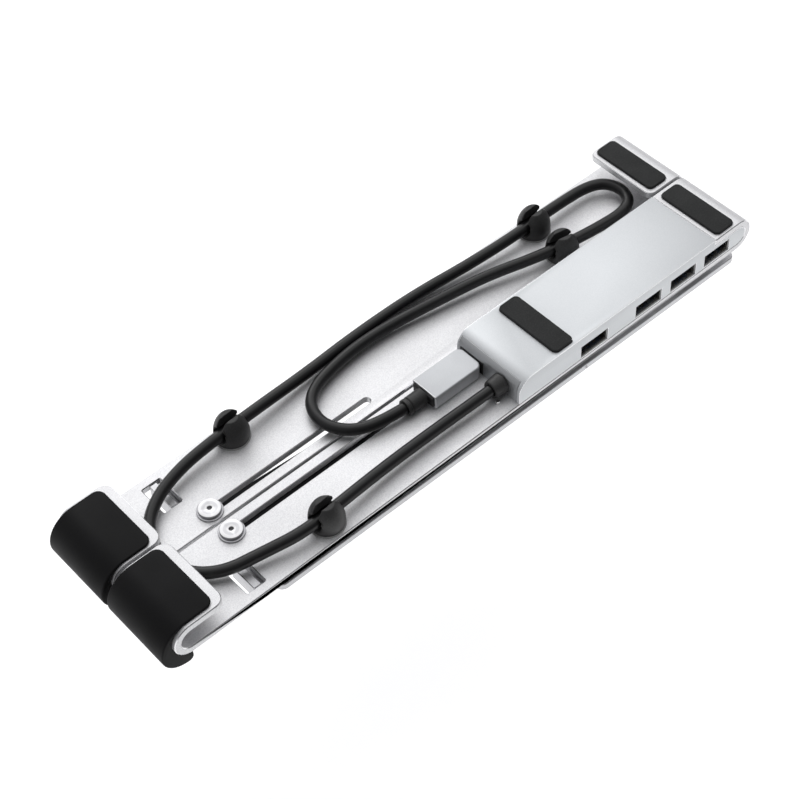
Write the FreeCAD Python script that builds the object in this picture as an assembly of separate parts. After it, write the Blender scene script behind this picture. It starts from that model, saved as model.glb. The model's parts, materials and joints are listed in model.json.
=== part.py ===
import FreeCAD, Part
import math
import os
from FreeCAD import Vector

# A folding laptop stand with a four-port hub and a captive lead, folded flat with its dock side up.
# Millimetres.  +X runs from the front hooks to the hub end, +Y to the plate that carries no hub, +Z up.
# The origin is the middle of the footprint, on the surface that the folded stand lies on.

# ---------------------------------------------------------------- driving dimensions
LENGTH = 273.7            # front sleeve to rear bend
WIDTH = 64.8              # over both plates
PLATE_TOP = 8.9           # height of the base plates' upper face
SHEET = 2.8               # base plate thickness
PLATE_GAP = 0.8           # between the two base plates
LIP_RISE = 11.0           # from the plate's face to the top of a lip and of the hub
BEND_R = (LIP_RISE + SHEET) / 2   # outer radius of the front and rear bends
PAD_RISE = 1.0            # how far the feet stand over the lips
PAD_SINK = 0.4            # depth of the pocket that locates a foot
FIT = 0.3                 # gap between moving pieces
RUN = 0.05                # radial clearance of a running pin

# stations along the length, measured from the front
HOOK_CENTRE, HOOK_TIP = 11.5, 26.1
REAR_CENTRE, REAR_TIP = LENGTH - BEND_R, 254.2
WINDOW = (36.0, 43.8)
ARM_HINGE = 40.5
SLOT = (47.7, 117.2)
HUB_FRONT = 154.6
MID_PAD = (173.2, 182.5)
REAR_PAD = (256.2, 265.7)
PORTS = (185.1, 212.8, 231.0, 249.0)
FIXED_PIVOT = 215.7
PROP_HINGE = 188.3
ARM = (46.7, 267.6)
GLAND_FACE = 149.4
PLUG = (132.1, 154.3)
RELIEF_START = 123.0

# stations across, measured from the centre line
WINDOW_Y = (15.9, 28.8)
SLOT_Y, SLOT_WIDTH = 5.9, 3.0
PAD_Y = (2.3, 31.1)
ARM_Y = (13.5, 32.2)
ARM_WINDOW_Y = (17.4, 28.6)
GLAND_Y, PLUG_Y = -23.2, -8.1

# hub and its sockets
HUB_WALL, HUB_THIN_WALL, HUB_ROUND, HUB_SEAM = 1.6, 0.9, 6.5, 9.4
PORT_SIZE, PORT_DEPTH, PORT_FLOOR, PORT_WALL = (13.1, 5.6), 13.5, 0.6, 0.3
BOARD_RISE, BOARD_THICK = 6.25, 1.0
GLAND_RISE, PLUG_RISE = 4.1, 3.3

# arms, props and scissor links
ARM_THICK, ARM_GAP, KNUCKLE_R, KNUCKLE_RISE = 2.8, 1.15, 1.5, 1.25
HINGE_PIN_R, PROP_PIN_R = 0.7, 0.55
PROP_LENGTH = 70.0
LINK_THICK, LINK_WIDTH = 1.5, 9.0
RIVET_R, SLIDE_PIN_R = 1.5, 1.4

# lead and clips: places of the clips, the way the lead runs through each, and the lead's route
LEAD_D, LEAD_IN_CLIP = 4.4, 4.9
CLIP_R, CLIP_RISE, CLIP_MOUTH, EAR_REACH = 6.4, 10.9, 2.8, 4.7
CLIPS = {
    "cable_clip_1": (73.2, 25.9, 3.0),
    "cable_clip_2": (73.2, -25.0, 3.5),
    "cable_clip_3": (217.7, 25.2, 2.3),
    "cable_clip_4": (216.6, 8.9, -11.0),
}
LEAD_ROUTE = (
    (18.6, -23.2, 13.0), (7.0, -23.2, 13.0), (-12.0, -22.7, 12.6), (-34.0, -22.9, 12.7),
    (-54.0, -24.4, 13.8), (-73.3, -25.6, 13.8), (-88.5, -22.0, 12.8), (-102.2, -19.0, 12.2),
    (-111.2, -11.0, 12.0), (-113.8, 1.0, 12.0), (-109.9, 12.8, 12.1), (-100.0, 20.4, 12.6),
    (-87.0, 24.2, 13.3), (-73.7, 25.4, 13.8), (-52.7, 26.4, 13.8), (-29.0, 27.9, 12.2),
    (-4.0, 30.0, 11.4), (24.0, 30.0, 11.4), (48.0, 26.9, 12.4), (70.5, 24.8, 13.8),
    (91.5, 25.6, 13.8), (113.1, 24.9, 13.1), (118.7, 15.3, 12.9), (113.1, 5.7, 12.9),
    (91.0, 6.7, 13.7), (69.0, 11.0, 13.8), (50.0, 17.6, 13.0), (28.0, 21.6, 12.4),
    (5.0, 25.0, 12.2), (-14.0, 24.8, 12.3), (-34.1, 20.3, 12.1), (-40.0, 8.2, 11.9),
    (-33.5, -4.2, 11.9), (-17.2, -8.1, 12.2), (-8.0, -8.1, 12.2),
)

LEFT, RIGHT = 1, -1
parts = {}


# ---------------------------------------------------------------- small helpers
def station(distance):
    """X of a station given as its distance from the front."""
    return distance - LENGTH / 2


def block(x_pair, y_pair, z_pair):
    """A box between two corners, whichever way round they are given."""
    low = [min(pair) for pair in (x_pair, y_pair, z_pair)]
    size = [abs(pair[1] - pair[0]) for pair in (x_pair, y_pair, z_pair)]
    return Part.makeBox(*size, Vector(*low))


def across(side, y_pair):
    """A pair of distances from the centre line, taken to one side."""
    return sorted(side * value for value in y_pair)


def rod(radius, start, end):
    """A cylinder between two points."""
    way = Vector(*end) - Vector(*start)
    return Part.makeCylinder(radius, way.Length, Vector(*start), way)


def upright(radius, x, y, z_low, z_high):
    """A standing cylinder."""
    return rod(radius, (x, y, z_low), (x, y, z_high))


def outline_xz(pieces, y_pair):
    """A solid of one closed side outline: each piece is two points, or three for an arc."""
    edges = []
    for piece in pieces:
        points = [Vector(x, y_pair[0], z) for x, z in piece]
        if len(points) == 3:
            edges.append(Part.Arc(*points).toShape())
        else:
            edges.append(Part.LineSegment(*points).toShape())
    face = Part.Face(Part.Wire(edges))
    return face.extrude(Vector(0, y_pair[1] - y_pair[0], 0))


def rounded_slab(x_pair, y_pair, z_pair, radius):
    """A flat slab with its four upright corners rounded."""
    slab = block(x_pair, y_pair, z_pair)
    corners = [edge for edge in slab.Edges if abs(edge.Vertexes[0].Z - edge.Vertexes[-1].Z) > 1e-6]
    return slab.makeFillet(radius, corners)


def corner_cutter(x, y, x_way, y_way, radius, z_pair):
    """What has to go to round one upright corner at x, y; the ways point into the material."""
    square = block((x, x + x_way * radius), (y, y + y_way * radius), z_pair)
    return square.cut(upright(radius, x + x_way * radius, y + y_way * radius, *z_pair))


def softened(shape, size, chooser):
    """Round the chosen edges of a shape."""
    return shape.makeFillet(size, [edge for edge in shape.Edges if chooser(edge)])


def stadium(start, end, radius, z_pair):
    """A link plate with round ends about two points."""
    run = Vector(end[0] - start[0], end[1] - start[1], 0)
    bar = Part.makeBox(run.Length, 2 * radius, z_pair[1] - z_pair[0], Vector(0, -radius, 0))
    bar.rotate(Vector(0, 0, 0), Vector(0, 0, 1), math.degrees(math.atan2(run.y, run.x)))
    bar.translate(Vector(start[0], start[1], z_pair[0]))
    for x, y in (start, end):
        bar = bar.fuse(upright(radius, x, y, *z_pair))
    return bar.removeSplitter()


def add(name, shape):
    """Keep a node, as its solids."""
    solids = shape.Solids
    parts[name] = solids[0] if len(solids) == 1 else Part.makeCompound(solids)


# heights that several pieces share
PLATE_LOW = PLATE_TOP - SHEET
LIP_TOP = PLATE_TOP + LIP_RISE
LIP_LOW = LIP_TOP - SHEET
BEND_MID = (PLATE_LOW + LIP_TOP) / 2
FOOT_TOP = LIP_TOP + PAD_RISE
HINGE_Z = PLATE_TOP - KNUCKLE_R - 0.1
UPPER_LINK = (PLATE_LOW - FIT - LINK_THICK, PLATE_LOW - FIT)
LOWER_LINK = (UPPER_LINK[0] - 0.2 - LINK_THICK, UPPER_LINK[0] - 0.2)
ARM_Z = (PLATE_LOW - ARM_GAP - ARM_THICK, PLATE_LOW - ARM_GAP)
OUTER = WIDTH / 2
INNER = PLATE_GAP / 2
# the folded arms slope down until their rear ends touch the ground
ARM_SLOPE = math.degrees(math.asin((ARM_Z[0] - 0.02) / (ARM[1] - ARM_HINGE)))


# ---------------------------------------------------------------- base plates and what is fixed to them
def bent_sheet(y_pair):
    """The base plate's side outline: flat, with a hook bent up and back at each end."""
    front, rear = station(HOOK_CENTRE), station(REAR_CENTRE)
    tip, rear_tip = station(HOOK_TIP), station(REAR_TIP)
    inner_r = BEND_R - SHEET
    return outline_xz((
        ((tip, LIP_TOP), (front, LIP_TOP)),
        ((front, LIP_TOP), (front - BEND_R, BEND_MID), (front, PLATE_LOW)),
        ((front, PLATE_LOW), (rear, PLATE_LOW)),
        ((rear, PLATE_LOW), (rear + BEND_R, BEND_MID), (rear, LIP_TOP)),
        ((rear, LIP_TOP), (rear_tip, LIP_TOP)),
        ((rear_tip, LIP_TOP), (rear_tip, LIP_LOW)),
        ((rear_tip, LIP_LOW), (rear, LIP_LOW)),
        ((rear, LIP_LOW), (rear + inner_r, BEND_MID), (rear, PLATE_TOP)),
        ((rear, PLATE_TOP), (front, PLATE_TOP)),
        ((front, PLATE_TOP), (front - inner_r, BEND_MID), (front, LIP_LOW)),
        ((front, LIP_LOW), (tip, LIP_LOW)),
        ((tip, LIP_LOW), (tip, LIP_TOP)),
    ), y_pair)


def pad_shape(x_pair, y_pair, base, grow=0.0):
    """A foot with rounded corners, or its pocket when grown."""
    grown = [(min(pair) - grow, max(pair) + grow) for pair in (x_pair, y_pair)]
    top = FOOT_TOP if grow == 0 else FOOT_TOP + PAD_RISE
    slab = rounded_slab(grown[0], grown[1], (base - PAD_SINK, top), 2.0 + grow)
    if grow:
        return slab
    return softened(slab, 0.35, lambda edge: min(v.Z for v in edge.Vertexes) > top - 1e-6)


def base_plate(side):
    """One base plate with its window, slot, pivot hole, hinge bores and foot pocket."""
    plate = bent_sheet(across(side, (INNER, OUTER)))
    lip = (LIP_LOW - 0.1, LIP_TOP + 0.1)
    tips = [(station(HOOK_TIP), -1)]
    if side == LEFT:
        tips.append((station(REAR_TIP), 1))
    for x, x_way in tips:
        for y, y_way in ((side * INNER, side), (side * OUTER, -side)):
            plate = plate.cut(corner_cutter(x, y, x_way, y_way, 4.0 if x < 0 else 3.0, lip))
    through = (PLATE_LOW - 1, PLATE_TOP + 1)
    window = rounded_slab([station(d) for d in WINDOW], across(side, WINDOW_Y), through, 0.6)
    slot_ends = [(station(d), side * SLOT_Y) for d in SLOT]
    plate = plate.cut(window).cut(stadium(*slot_ends, SLOT_WIDTH / 2, through))
    x, y = station(FIXED_PIVOT), side * SLOT_Y
    sink = Part.makeCone(RIVET_R, 2.6, 1.1, Vector(x, y, PLATE_TOP - 1.1), Vector(0, 0, 1))
    plate = plate.cut(upright(RIVET_R, x, y, *through)).cut(sink)
    bore = rod(HINGE_PIN_R, (station(ARM_HINGE), side * (ARM_Y[0] + 0.1), HINGE_Z),
               (station(ARM_HINGE), side * (OUTER + 1), HINGE_Z))
    plate = plate.cut(bore)
    if side == RIGHT:
        for screw in HUB_SCREWS:
            plate = plate.cut(screw_shape(screw, 0.0))
    pocket = pad_shape([station(d) for d in REAR_PAD], across(side, PAD_Y), LIP_TOP, 0.02)
    return plate.cut(pocket)


def front_sleeve(side):
    """Moulded sleeve over the hook: thin on the lip, thick round the bend, ending as the laptop stop."""
    front, cap = station(HOOK_CENTRE), station(22.5)
    sleeve_top = FOOT_TOP
    nose = station(0.0)
    upper_r = sleeve_top - (PLATE_TOP + 0.6)
    lower_r = PLATE_TOP + 0.6
    upper_c, lower_c = nose + upper_r, nose + lower_r
    heel_r = 2.0
    turn = math.sqrt(0.5)
    body = outline_xz((
        ((cap, LIP_TOP), (cap, sleeve_top - 0.5)),
        ((cap, sleeve_top - 0.5), (cap - 0.15, sleeve_top - 0.15), (cap - 0.5, sleeve_top)),
        ((cap - 0.5, sleeve_top), (upper_c, sleeve_top)),
        ((upper_c, sleeve_top), (upper_c - turn * upper_r, lower_r + turn * upper_r), (nose, lower_r)),
        ((nose, lower_r), (lower_c - turn * lower_r, lower_r * (1 - turn)), (lower_c, 0.0)),
        ((lower_c, 0.0), (lower_c + turn * heel_r, heel_r * (1 - turn)), (lower_c + heel_r, heel_r)),
        ((lower_c + heel_r, heel_r), (front, PLATE_LOW)),
        ((front, PLATE_LOW), (front - BEND_R, BEND_MID), (front, LIP_TOP)),
        ((front, LIP_TOP), (cap, LIP_TOP)),
    ), across(side, (1.3, 31.1)))
    for y, y_way in ((side * 1.3, side), (side * 31.1, -side)):
        body = body.cut(corner_cutter(cap, y, -1, y_way, 3.2, (LIP_TOP - 0.1, sleeve_top + 0.1)))
    return body


# ---------------------------------------------------------------- hub
HUB_SCREWS = ((170.5, -27.6), (170.5, -3.9), (240.0, -4.2), (240.0, -13.0))


def screw_shape(place, slack):
    """A countersunk screw from under the plate into the hub's boss."""
    x, y = station(place[0]), place[1]
    head = Part.makeCone(2.2 + slack, 1.0 + slack, 1.2, Vector(x, y, PLATE_LOW), Vector(0, 0, 1))
    return head.fuse(upright(1.0 + slack, x, y, PLATE_LOW, PLATE_TOP + 4.0)).removeSplitter()


def hub_outline(inset, y_pair, lift=0.0):
    """The hub's side outline: round front top edge, stepped under the rear lip, round rear end."""
    front = station(HUB_FRONT) + inset
    step, rear = station(REAR_TIP) - 0.05 - inset, station(REAR_CENTRE)
    top, low = LIP_TOP - inset, PLATE_TOP + lift
    shelf = LIP_LOW - 0.05 - inset * 0.45
    tail_r = (shelf - low) / 2
    radius = HUB_ROUND - inset
    cut = radius * (1 - math.sqrt(0.5))
    return outline_xz((
        ((front, low), (front, top - radius)),
        ((front, top - radius), (front + cut, top - cut), (front + radius, top)),
        ((front + radius, top), (step, top)),
        ((step, top), (step, shelf)),
        ((step, shelf), (rear, shelf)),
        ((rear, shelf), (rear + tail_r, shelf - tail_r), (rear, low)),
        ((rear, low), (front, low)),
    ), y_pair)


def port_block(distance, grow, depth):
    """The space of one port, from the hub's side inwards."""
    x, (wide, high) = station(distance), PORT_SIZE
    floor = PLATE_TOP + PORT_FLOOR
    heights = (floor - grow, floor + high + grow)
    return block((x - grow, x + wide + grow), (-OUTER - 1, -OUTER + depth), heights)


def hub_pieces():
    """The hub's case, its end cap, board, sockets, gland, parking socket and screws."""
    y_out, y_in = (-OUTER, -INNER), (-OUTER + HUB_WALL, -INNER - HUB_THIN_WALL)
    outer = hub_outline(0.0, y_out)
    shell = outer.cut(hub_outline(HUB_WALL, y_in, -1.0))
    cap_zone = block((station(HUB_FRONT) - 1, station(HUB_FRONT) + 2.6), y_in,
                     (PLATE_TOP - 2, PLATE_TOP + HUB_SEAM))
    housing = shell.cut(cap_zone)
    for place in HUB_SCREWS:
        x, y = station(place[0]), place[1]
        boss = upright(2.2, x, y, PLATE_TOP + 0.1, LIP_TOP - HUB_WALL).fuse(
            block((x - 0.5, x + 0.5), (y, y_in[0] if y < -20 else y_in[1]),
                  (PLATE_TOP + 0.1, LIP_TOP - HUB_WALL)))
        if place == HUB_SCREWS[3]:
            boss = upright(2.2, x, y, PLATE_TOP + 0.1, LIP_TOP - HUB_WALL)
        housing = housing.fuse(boss)
    for distance in PORTS:
        housing = housing.cut(port_block(distance, 0.1, 3.0))
    for place in HUB_SCREWS:
        housing = housing.cut(upright(1.0, station(place[0]), place[1], PLATE_TOP, PLATE_TOP + 4.0))
    pad = pad_shape([station(d) for d in MID_PAD], (-PAD_Y[1], -1.7), LIP_TOP, 0.02)
    add("hub_housing", housing.cut(pad).removeSplitter())

    face = station(HUB_FRONT)
    cap_space = block((face - 1, face + 2.55), (y_in[0] + 0.05, y_in[1] - 0.05),
                      (PLATE_TOP, PLATE_TOP + HUB_SEAM - 0.05))
    cap = outer.cut(hub_outline(1.9, y_out, -1.0)).common(cap_space)
    gland_z, plug_z = PLATE_TOP + GLAND_RISE, PLATE_TOP + PLUG_RISE
    cap = cap.cut(rod(3.1, (face - 2, GLAND_Y, gland_z), (face + 4, GLAND_Y, gland_z)))
    socket_y = (PLUG_Y - 5.9, PLUG_Y + 5.9)
    socket_z = (plug_z - 2.9, plug_z + 2.9)
    cap = cap.cut(block((face - 2, face + 4), socket_y, socket_z))
    add("hub_end_cap", cap)

    socket = block((face, face + 9.0), (socket_y[0] + 0.05, socket_y[1] - 0.05),
                   (socket_z[0] + 0.05, socket_z[1] - 0.05))
    tip_y, tip_z = (PLUG_Y - 4.22, PLUG_Y + 4.22), (plug_z - 1.33, plug_z + 1.33)
    add("parking_socket", socket.cut(block((face - 1, face + 7.4), tip_y, tip_z)))

    gland = Part.makeCone(3.4, 4.0, face - station(GLAND_FACE),
                          Vector(station(GLAND_FACE), GLAND_Y, gland_z), Vector(1, 0, 0))
    gland = softened(gland, 0.6, lambda edge: edge.BoundBox.XMax < station(GLAND_FACE) + 1e-6)
    gland = gland.fuse(rod(3.05, (face, GLAND_Y, gland_z), (face + 5.0, GLAND_Y, gland_z)))
    entry = rod(LEAD_D / 2 + 0.15, (station(GLAND_FACE) - 1, GLAND_Y, gland_z),
                (LEAD_ROUTE[0][0], GLAND_Y, gland_z))
    add("cable_gland", gland.cut(entry))
    nut = Part.Face(Part.makePolygon([
        Vector(face + 2.65, GLAND_Y + 3.8 * math.cos(math.radians(60 * k)),
               gland_z + 3.8 * math.sin(math.radians(60 * k)))
        for k in range(7)])).extrude(Vector(2.0, 0, 0))
    add("gland_nut", nut.cut(rod(3.08, (face, GLAND_Y, gland_z), (face + 6, GLAND_Y, gland_z))))

    board_z = PLATE_TOP + BOARD_RISE
    board = block((station(166.0), station(263.5)), (-29.5, -2.4), (board_z, board_z + BOARD_THICK))
    for place in HUB_SCREWS:
        x, y = station(place[0]), place[1]
        around = (board_z - 1, board_z + 2)
        board = board.cut(block((x - 2.6, x + 2.6), (y - 2.6, y + 2.6), around))
        if place != HUB_SCREWS[3]:
            edge = -OUTER if y < -20 else 0.0
            board = board.cut(block((x - 0.8, x + 0.8), (y, edge), around))
    add("circuit_board", board)
    chips = [((176.0, 185.0), (-19.0, -10.0), 1.0), ((200.0, 206.0), (-16.0, -10.0), 0.9),
             ((190.0, 193.0), (-27.0, -24.0), 0.8), ((222.0, 226.0), (-24.0, -20.0), 0.9)]
    add("board_chips", Part.makeCompound([
        block([station(d) for d in along], wide, (board_z + BOARD_THICK, board_z + BOARD_THICK + tall))
        for along, wide, tall in chips]))

    floor = PLATE_TOP + PORT_FLOOR
    wide, high = PORT_SIZE
    contacts = []
    for number, distance in enumerate(PORTS, 1):
        x, y_mouth = station(distance), -OUTER + 0.5
        can = block((x, x + wide), (y_mouth, y_mouth + PORT_DEPTH), (floor, floor + high))
        hollow = block((x + PORT_WALL, x + wide - PORT_WALL), (y_mouth - 1, y_mouth + PORT_DEPTH + 1),
                       (floor + PORT_WALL, floor + high - PORT_WALL))
        add(f"port_shell_{number}", can.cut(hollow))
        tongue_top = floor + high - 0.95
        insert = block((x + PORT_WALL + 0.02, x + wide - PORT_WALL - 0.02),
                       (y_mouth + PORT_DEPTH - 2.4, y_mouth + PORT_DEPTH),
                       (floor + PORT_WALL + 0.02, floor + high - PORT_WALL - 0.02))
        tongue = block((x + 1.05, x + wide - 1.05), (y_mouth + 1.2, y_mouth + PORT_DEPTH - 2.4),
                       (tongue_top - 1.9, tongue_top))
        add(f"port_tongue_{number}", insert.fuse(tongue).removeSplitter())
        for k in range(4):
            middle = x + wide / 2 + (k - 1.5) * 2.3
            contacts.append(block((middle - 0.45, middle + 0.45), (y_mouth + 2.0, y_mouth + 9.0),
                                  (tongue_top - 2.0, tongue_top - 1.9)))
    add("port_contacts", Part.makeCompound(contacts))
    add("hub_screws", Part.makeCompound([screw_shape(place, -0.03) for place in HUB_SCREWS]))


# ---------------------------------------------------------------- lead, plug and clips
def lead_wire():
    """The lead's path: straight runs joined by tangent arcs as large as the runs allow."""
    points = [Vector(*point) for point in LEAD_ROUTE]
    edges, radii, last = [], [], points[0]
    for before, corner, after in zip(points, points[1:], points[2:]):
        back, ahead = before - corner, after - corner
        turn = math.pi - back.getAngle(ahead)
        reach = 0.45 * min(back.Length, ahead.Length)
        radii.append(reach / math.tan(turn / 2))
        back.normalize()
        ahead.normalize()
        start, end = corner + back * reach, corner + ahead * reach
        inward = back + ahead
        inward.normalize()
        centre = corner + inward * (radii[-1] / math.cos(turn / 2))
        middle = centre - inward * radii[-1]
        edges.append(Part.LineSegment(last, start).toShape())
        edges.append(Part.Arc(start, middle, end).toShape())
        last = end
    edges.append(Part.LineSegment(last, points[-1]).toShape())
    print("lead radii", [round(radius, 1) for radius in radii], "smallest", round(min(radii), 1))
    return Part.Wire(edges)


def lead_solid():
    """The lead as one round tube along its path."""
    path = lead_wire()
    start = path.Edges[0]
    ahead = start.tangentAt(start.FirstParameter)
    ring = Part.Wire(Part.makeCircle(LEAD_D / 2, start.Vertexes[0].Point, ahead))
    tube = path.makePipeShell([ring], True, False)
    solid = Part.Solid(tube) if tube.ShapeType == "Shell" else tube.Solids[0]
    expected = math.pi * LEAD_D ** 2 / 4 * path.Length
    print("lead length", round(path.Length, 1))
    print("lead volume", round(solid.Volume, 1), "expected", round(expected, 1))
    return solid


def plug_pieces():
    """The parked plug: a metal sleeve over a black core, a ribbed strain relief and the plug's tip."""
    z = PLATE_TOP + PLUG_RISE
    x0, x1 = (station(d) for d in PLUG)
    half_w, half_h = 6.0, 3.0
    body = block((x0, x1), (PLUG_Y - half_w, PLUG_Y + half_w), (z - half_h, z + half_h))
    plan = [edge for edge in body.Edges
            if abs(edge.Vertexes[0].Z - edge.Vertexes[-1].Z) > 1 and edge.BoundBox.XMin > x1 - 1e-6]
    body = body.makeFillet(2.6, plan)
    body = softened(body, 0.6, lambda edge: edge.BoundBox.ZLength < 1e-6 and edge.BoundBox.XMax > x0 + 0.1
                    and abs(abs(edge.BoundBox.ZMin - z) - half_h) < 1e-6)
    core_gap = 0.9
    hollow = block((x0 - 1, x1 - 2.0), (PLUG_Y - half_w + core_gap, PLUG_Y + half_w - core_gap),
                   (z - half_h + core_gap, z + half_h - core_gap))
    tip_hole = block((x1 - 3, x1 + 1), (PLUG_Y - 4.2, PLUG_Y + 4.2), (z - 1.3, z + 1.3))
    add("plug_shell", body.cut(hollow).cut(tip_hole))
    relief_x = station(RELIEF_START)
    core_x = x0 - 0.8
    core = block((core_x, x1 - 2.0), (PLUG_Y - half_w + core_gap, PLUG_Y + half_w - core_gap),
                 (z - half_h + core_gap, z + half_h - core_gap))
    core = softened(core, 0.5, lambda edge: edge.BoundBox.XMax < core_x + 1e-6)
    add("plug_core", core.cut(block((x1 - 6, x1), (PLUG_Y - 4.2, PLUG_Y + 4.2), (z - 1.3, z + 1.3))))
    relief = rod(3.15, (relief_x, PLUG_Y, z), (core_x - 0.02, PLUG_Y, z))
    groove = rod(4.0, (relief_x + 1.5, PLUG_Y, z), (relief_x + 2.1, PLUG_Y, z))
    relief = relief.cut(groove.cut(rod(2.7, (relief_x, PLUG_Y, z), (relief_x + 3, PLUG_Y, z))))
    bore_end = (LEAD_ROUTE[-1][0], PLUG_Y, z)
    add("plug_strain_relief", relief.cut(rod(LEAD_D / 2 + 0.1, (relief_x - 1, PLUG_Y, z), bore_end)))
    tip = rounded_slab((x1 - 5.9, x1 + 6.65), (PLUG_Y - 4.17, PLUG_Y + 4.17), (z - 1.28, z + 1.28), 0.4)
    add("plug_tip", tip.cut(block((x1 + 0.8, x1 + 7), (PLUG_Y - 3.4, PLUG_Y + 3.4), (z - 0.9, z + 0.9))))


def cable_clip(place):
    """A round rubber clip whose two ears curl over the lead, with a channel that flares at both ends."""
    distance, y, angle = place
    foot, waist, top = (PLATE_TOP + rise for rise in (0.5, 3.2, CLIP_RISE))
    side = [
        Part.LineSegment(Vector(0, 0, foot), Vector(CLIP_R - 0.2, 0, foot)).toShape(),
        Part.LineSegment(Vector(CLIP_R - 0.2, 0, foot), Vector(CLIP_R, 0, waist)).toShape(),
        Part.Arc(Vector(CLIP_R, 0, waist), Vector(5.5, 0, waist + 4.4), Vector(3.2, 0, top)).toShape(),
        Part.LineSegment(Vector(3.2, 0, top), Vector(0, 0, top)).toShape(),
        Part.LineSegment(Vector(0, 0, top), Vector(0, 0, foot)).toShape(),
    ]
    dome = Part.Face(Part.Wire(side)).revolve(Vector(0, 0, 0), Vector(0, 0, 1), 360)
    seat = PLATE_TOP + LEAD_IN_CLIP
    channel_r = LEAD_D / 2 + 0.35
    dome = dome.cut(rod(channel_r, (-10, 0, seat), (10, 0, seat)))
    dome = dome.cut(block((-10, 10), (-CLIP_MOUTH / 2, CLIP_MOUTH / 2), (seat, top + 1)))
    for way in (1, -1):
        flare = Part.makeCone(channel_r, channel_r + 1.3, 4.0, Vector(way * 3.2, 0, seat), Vector(way, 0, 0))
        dome = dome.cut(flare)
        dome = dome.cut(block((way * EAR_REACH, way * 10), (-10, 10), (seat + 1.4, top + 1)))
    dome.rotate(Vector(0, 0, 0), Vector(0, 0, 1), angle)
    dome.translate(Vector(station(distance), y, 0))
    return dome


def clip_pad(place):
    """The round adhesive pad under a clip."""
    distance, y, _ = place
    return upright(6.5, station(distance), y, PLATE_TOP, PLATE_TOP + 0.5)


# ---------------------------------------------------------------- scissor links and their pins
def pivot_rivet(side, link, spacer):
    """A rivet, flush in the base plate, that a link turns on."""
    x, y = station(FIXED_PIVOT), side * SLOT_Y
    head = Part.makeCone(RIVET_R, 2.55, 1.05, Vector(x, y, PLATE_TOP - 1.07), Vector(0, 0, 1))
    body = head.fuse(upright(RIVET_R, x, y, link[0] - 0.1, PLATE_TOP - 0.5))
    body = body.fuse(upright(2.6, x, y, link[0] - 0.9, link[0] - 0.1))
    if spacer:
        body = body.fuse(upright(2.6, x, y, link[1] + 0.1, PLATE_LOW))
    return body.removeSplitter()


def slide_pin(side, link, spacer):
    """A headed pin, fixed in a link's end, that slides along a base plate's slot."""
    x, y = station(SLOT[0]), side * SLOT_Y
    head_z = PLATE_TOP + 0.65
    head = softened(upright(4.1, x, y, head_z, head_z + 1.25), 0.25,
                    lambda edge: edge.BoundBox.ZMin > head_z + 1.2 and edge.BoundBox.XLength > 1)
    body = head.fuse(upright(SLIDE_PIN_R, x, y, link[0], head_z + 0.3))
    body = body.cut(upright(0.85, x, y, head_z - 1.2, head_z + 2))
    body = body.fuse(upright(2.4, x, y, link[0] - 0.8, link[0]))
    if spacer:
        body = body.fuse(upright(2.6, x, y, link[1], PLATE_LOW - FIT))
    return body.removeSplitter()


def slide_washer(side):
    """The thin washer between a slide pin's head and the plate."""
    x, y = station(SLOT[0]), side * SLOT_Y
    z = PLATE_TOP + 0.1
    return upright(4.7, x, y, z, z + 0.5).cut(upright(SLIDE_PIN_R + 0.1, x, y, z - 1, z + 1))


def scissor_pieces():
    """Two crossed links that spread the base plates apart and keep them parallel."""
    rear, front = station(FIXED_PIVOT), station(SLOT[0])
    centre_x = (rear + front) / 2
    for name, pivot_side, z_pair in (("scissor_link_lower", RIGHT, LOWER_LINK),
                                     ("scissor_link_upper", LEFT, UPPER_LINK)):
        pivot, pin = (rear, pivot_side * SLOT_Y), (front, -pivot_side * SLOT_Y)
        link = stadium(pivot, pin, LINK_WIDTH / 2, z_pair)
        link = link.cut(upright(RIVET_R + RUN, *pivot, z_pair[0] - 1, z_pair[1] + 1))
        link = link.cut(upright(SLIDE_PIN_R, *pin, z_pair[0] - 1, z_pair[1] + 1))
        hole = RIVET_R + (RUN if name.endswith("upper") else 0.0)
        link = link.cut(upright(hole, centre_x, 0, z_pair[0] - 1, z_pair[1] + 1))
        if name.endswith("upper"):
            sink = Part.makeCone(hole, 2.6, 0.9, Vector(centre_x, 0, z_pair[1] - 0.9), Vector(0, 0, 1))
            link = link.cut(sink)
        add(name, link)
    head = Part.makeCone(RIVET_R, 2.4, 0.8, Vector(centre_x, 0, UPPER_LINK[1] - 0.8), Vector(0, 0, 1))
    rivet = head.fuse(upright(RIVET_R, centre_x, 0, LOWER_LINK[0], UPPER_LINK[1] - 0.4))
    add("scissor_centre_rivet", rivet.fuse(upright(2.6, centre_x, 0, LOWER_LINK[0] - 0.8, LOWER_LINK[0]))
        .removeSplitter())
    add("right_pivot_rivet", pivot_rivet(RIGHT, LOWER_LINK, True))
    add("left_pivot_rivet", pivot_rivet(LEFT, UPPER_LINK, False))
    add("left_slide_pin", slide_pin(LEFT, LOWER_LINK, True))
    add("right_slide_pin", slide_pin(RIGHT, UPPER_LINK, False))
    add("left_slide_washer", slide_washer(LEFT))
    add("right_slide_washer", slide_washer(RIGHT))


# ---------------------------------------------------------------- laptop arms and prop legs
def sloped(shape):
    """Turn a piece of an arm about the arm's hinge to the folded arm's slope."""
    shape.rotate(Vector(station(ARM_HINGE), 0, HINGE_Z), Vector(0, 1, 0), ARM_SLOPE)
    return shape


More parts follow.
